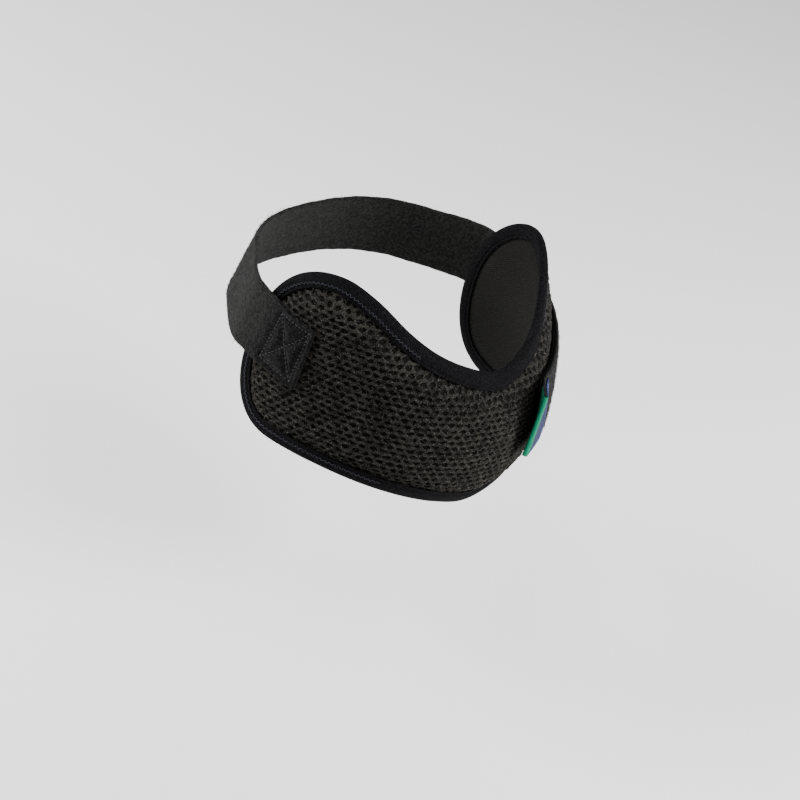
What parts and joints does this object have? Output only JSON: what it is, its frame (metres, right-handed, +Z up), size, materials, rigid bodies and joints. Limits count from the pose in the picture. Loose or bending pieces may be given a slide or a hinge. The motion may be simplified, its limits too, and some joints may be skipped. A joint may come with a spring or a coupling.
{
  "type": "patella strap",
  "caption": "Padded strap worn below the kneecap: a contoured mesh pad with a bound edge and a flat strap that closes round the back as a loop.",
  "frame": {"origin": "middle of the loop, halfway up the whole part", "axes": "+Z up along the loop's axis, -Y through the middle of the pad, +X to the wearer's side of the closing end"},
  "size_m": [0.1295, 0.1223, 0.0785],
  "materials": {
    "mesh": "matt black spacer mesh, with a warm grey bloom",
    "tape": "matt blue-black elastic tape",
    "loop_cloth": "matt dark grey brushed loop",
    "hook_tape": "black hook tape",
    "woven_label": "blue woven label with a green edge, left bare"
  },
  "bodies": {
    "root": {"pad": "mesh", "edge_binding": "tape", "back_strap": "loop_cloth", "hook_patch": "hook_tape", "label": "woven_label"}
  },
  "joints": []
}
